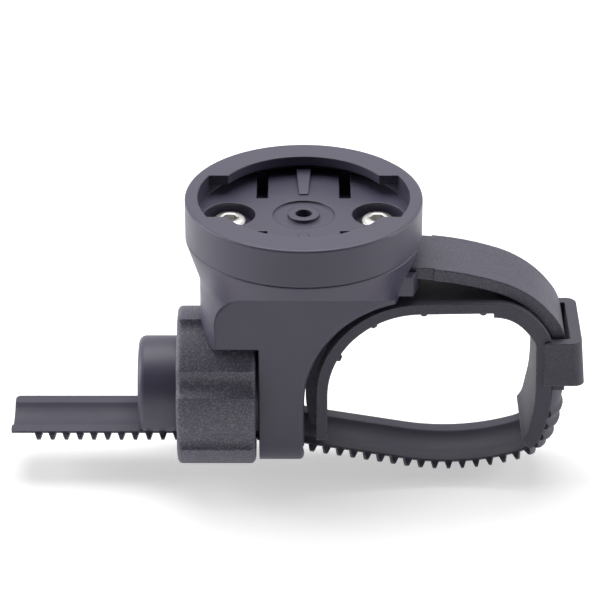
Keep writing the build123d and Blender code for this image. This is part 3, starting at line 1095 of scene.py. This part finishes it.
@dataclass
class RubberLiner:
    """The rubber liner: its keeper sits a little higher than on the solid, and its lower end is thinned.

    Lengths are in millimetres.
    """

    line: BandLine
    node: str = "liner"
    name: str = "rubber_liner"
    finish: MouldedFinish = LINER_RUBBER
    side_from: tuple[float, float] = (14.0, -9.0)
    gap: float = 0.15
    half_width: float = 6.6
    keeper_drop: float = 0.3
    keeper_height: float = 7.1
    keeper_rise: float = 1.9
    slide_reach: float = 4.0
    end_heading: float = 22.5
    thin_length: float = 5.0
    thin_share: float = 0.8

    def build(self, solids: dict[str, bpy.types.Object]) -> bpy.types.Object:
        """Models the liner from its solid.

        Args:
            solids: The solids of the frame by name.

        Returns:
            The liner's object.
        """
        mesh = merged_copy(solids[self.node])
        corner = self.line.runs[self.line.corner_run]
        end = self.line.along_at(self.line.corner_run) + math.radians(self.end_heading) * corner.radius
        for vert in mesh.verts:
            if vert.co.x < self.side_from[0] * MM or vert.co.z < self.side_from[1] * MM:
                continue
            across = vert.co.y / MM
            along, out = self.line.locate(vert.co)
            if abs(across) < self.half_width + SLACK and out < -self.gap + SLACK:
                thinning = min(max((along - end) / self.thin_length, 0.0), 1.0)
                share = self.thin_share + (1 - self.thin_share) * thinning
                out = (out + self.gap) * share - self.gap
                vert.co = self.line.point(along + self.keeper_rise * self._slide(along), out, across)
            elif self._slide(along) == 1.0:
                vert.co.z += self.keeper_rise * MM
        return stand_for(mesh, self.name, self.node, self.finish)

    def _slide(self, along: float) -> float:
        """Gives the share of the keeper's rise that a place on the line takes.

        Args:
            along: Distance along the line.

        Returns:
            One beside the keeper, falling to nothing on both sides of it.
        """
        bottom = self.line.along_at(self.line.upright_run) - self.keeper_drop - SLACK
        top = bottom + self.keeper_height + 2 * SLACK
        if along < bottom:
            return max(1 - (bottom - along) / self.slide_reach, 0.0)
        return max(1 - max(along - top, 0.0) / self.slide_reach, 0.0)


@dataclass
class BrassInserts:
    """The two inserts that the screws turn into, hidden in the bracket."""

    nodes: tuple[str, ...] = ("insert_left", "insert_right")

    def build(self, solids: dict[str, bpy.types.Object]) -> None:
        """Dresses both inserts.

        Args:
            solids: The solids of the frame by name.
        """
        for name in self.nodes:
            low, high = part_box(name)
            # Free-cutting brass, turned: warm yellow with faint rings
            finish = TurnedMetalFinish(
                name=f"turned_brass_{name}", colour="#c9a55c", roughness=0.28, ring_height=0.003,
                axis=((low.x + high.x) / 2, (low.y + high.y) / 2),
            )
            dress(solids[name], finish.material())


@dataclass(frozen=True)
class Softbox:
    """One soft lamp, aimed at the mount. Lengths are in millimetres."""

    name: str
    place: tuple[float, float, float]
    size: tuple[float, float]
    power: float

    def build(self, target: Vector) -> None:
        """Makes the lamp and turns it to the target.

        Args:
            target: The point it looks at, in metres.
        """
        lamp = bpy.data.lights.new(self.name, "AREA")
        lamp.shape = "RECTANGLE"
        lamp.size, lamp.size_y = (side * MM for side in self.size)
        lamp.energy = self.power
        holder = bpy.data.objects.new(self.name, lamp)
        holder.location = Vector(self.place) * MM
        holder.rotation_euler = (target - holder.location).to_track_quat("-Z", "Y").to_euler()
        bpy.context.scene.collection.objects.link(holder)


@dataclass
class Studio:
    """The pale floor, the soft lamps, the white surround and the camera. Lengths are in millimetres."""

    target: tuple[float, float, float] = (-17.63, 0.0, 13.37)
    elevation: float = 28.74
    distance: float = 450.0
    focal_pixels: float = 3070.0
    floor_size: float = 6000.0
    floor_gap: float = 0.2
    floor_colour: str = "#f1f0ef"
    floor_glow: float = 0.2
    floor_lift: float = 0.3
    surround: float = 0.2
    dark_side: float = 0.12
    dark_until: tuple[float, float] = (-0.6, 0.15)
    lamps: tuple[Softbox, ...] = (
        Softbox("lamp_above", (-20, 150, 510), (520, 380), 2.35),
        Softbox("lamp_left", (-480, 60, 160), (260, 300), 1.2),
        Softbox("lamp_right", (480, 60, 160), (260, 300), 0.8),
    )

    def build(self, lowest: float) -> None:
        """Makes the whole studio.

        Args:
            lowest: The height of the mount's lowest point, in metres.
        """
        scene = bpy.context.scene
        scene.view_settings.view_transform = "Standard"
        self._lay_floor(lowest - self.floor_gap * MM)
        self._surround()
        target = Vector(self.target) * MM
        for lamp in self.lamps:
            lamp.build(target)
        self._aim_camera(target)

    def _lay_floor(self, height: float) -> None:
        """Lays the floor, which shows nothing of itself from below.

        Args:
            height: The floor's height, in metres.
        """
        mesh = bmesh.new()
        bmesh.ops.create_grid(
            mesh, x_segments=1, y_segments=1, size=self.floor_size / 2 * MM,
            matrix=Matrix.Translation((0, 0, height)),
        )
        data = bpy.data.meshes.new("floor")
        mesh.to_mesh(data)
        mesh.free()
        floor = bpy.data.objects.new("floor", data)
        bpy.context.scene.collection.objects.link(floor)
        floor.data.materials.append(self._paper())
        floor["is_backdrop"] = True

    def _paper(self) -> bpy.types.Material:
        """Makes the pale paper of the floor, a little brighter to the eye than the lamps make it.

        Returns:
            The material.
        """
        material = new_material("pale_paper")
        tree = material.node_tree
        seen = self._seen(tree)
        matte = add_node(tree, "ShaderNodeBsdfDiffuse", {"Color": linear(self.floor_colour)})
        strength = add_node(
            tree,
            "ShaderNodeMapRange",
            {"To Min": self.floor_glow, "To Max": self.floor_glow + self.floor_lift},
            {"Value": seen},
        )
        lift = add_node(
            tree, "ShaderNodeEmission", {"Color": (1, 1, 1, 1)}, {"Strength": strength.outputs["Result"]}
        )
        paper = add_node(
            tree, "ShaderNodeAddShader", links={0: matte.outputs["BSDF"], 1: lift.outputs["Emission"]}
        )
        geometry = add_node(tree, "ShaderNodeNewGeometry")
        clear = add_node(tree, "ShaderNodeBsdfTransparent")
        sided = add_node(
            tree,
            "ShaderNodeMixShader",
            links={0: geometry.outputs["Backfacing"], 1: paper.outputs["Shader"], 2: clear.outputs["BSDF"]},
        )
        add_node(tree, "ShaderNodeOutputMaterial", links={"Surface": sided.outputs["Shader"]})
        return material

    @staticmethod
    def _seen(tree: bpy.types.NodeTree) -> bpy.types.NodeSocket:
        """Gives one for what the camera, a gloss or a glass sees, and nothing for what only lights.

        Args:
            tree: The node tree of a material or world.

        Returns:
            The share as a socket.
        """
        path = add_node(tree, "ShaderNodeLightPath")
        either = add_node(
            tree,
            "ShaderNodeMath",
            {"operation": "MAXIMUM"},
            {0: path.outputs["Is Camera Ray"], 1: path.outputs["Is Glossy Ray"]},
        )
        return add_node(
            tree,
            "ShaderNodeMath",
            {"operation": "MAXIMUM"},
            {0: either.outputs["Value"], 1: path.outputs["Is Transmission Ray"]},
        ).outputs["Value"]

    def _surround(self) -> None:
        """Makes the world white to the eye, and to the mount a soft light that fades towards the front."""
        world = bpy.data.worlds.new("surround")
        bpy.context.scene.world = world
        world.use_nodes = True
        tree = world.node_tree
        tree.nodes.clear()
        place = add_node(tree, "ShaderNodeTexCoord").outputs["Generated"]
        parts = add_node(tree, "ShaderNodeSeparateXYZ", links={"Vector": place})
        fade = add_node(
            tree,
            "ShaderNodeMapRange",
            {
                "From Min": self.dark_until[0],
                "From Max": self.dark_until[1],
                "To Min": self.dark_side,
                "To Max": 1.0,
            },
            {"Value": parts.outputs["Y"]},
        )
        strength = add_node(
            tree, "ShaderNodeMapRange", {"To Min": self.surround, "To Max": 1.0}, {"Value": self._seen(tree)}
        )
        faded = add_node(
            tree,
            "ShaderNodeMath",
            {"operation": "MULTIPLY"},
            {0: strength.outputs["Result"], 1: fade.outputs["Result"]},
        )
        camera_ray = add_node(tree, "ShaderNodeLightPath").outputs["Is Camera Ray"]
        shown = add_node(
            tree, "ShaderNodeMath", {"operation": "MAXIMUM"}, {0: faded.outputs["Value"], 1: camera_ray}
        )
        background = add_node(
            tree, "ShaderNodeBackground", {"Color": (1, 1, 1, 1)}, {"Strength": shown.outputs["Value"]}
        )
        add_node(tree, "ShaderNodeOutputWorld", links={"Surface": background.outputs["Background"]})

    def _aim_camera(self, target: Vector) -> None:
        """Stands the camera at the photograph's angle.

        Args:
            target: The point at the middle of the picture, in metres.
        """
        angle = math.radians(self.elevation)
        back = Vector((0, -math.cos(angle), math.sin(angle)))
        lens = bpy.data.cameras.new("camera")
        lens.sensor_width = SENSOR_WIDTH
        lens.lens = self.focal_pixels / PHOTO_PIXELS * SENSOR_WIDTH
        lens.clip_start, lens.clip_end = CLIP_RANGE
        camera = bpy.data.objects.new("camera", lens)
        camera.location = target + back * self.distance * MM
        camera.rotation_euler = (-back).to_track_quat("-Z", "Y").to_euler()
        bpy.context.scene.collection.objects.link(camera)
        bpy.context.scene.camera = camera


def main() -> None:
    """Loads the frame, dresses each piece in order and sets up the studio."""
    logging.basicConfig(level=logging.INFO, format="%(name)s: %(message)s")
    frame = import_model()
    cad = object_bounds()
    solids = frame["nodes"]
    SocketCup().build(solids)
    MouldedBracket().build(solids)
    GripKnob().build(solids)
    line = BandLine()
    ToothedBand(line).build(solids)
    RubberLiner(line).build(solids)
    BrassInserts().build(solids)
    for side in ("left", "right"):
        SocketScrew(node=f"socket_screw_{side}", name=f"button_screw_{side}").build()
    Studio().build(cad[0].z)


if __name__ == "__main__":
    main()
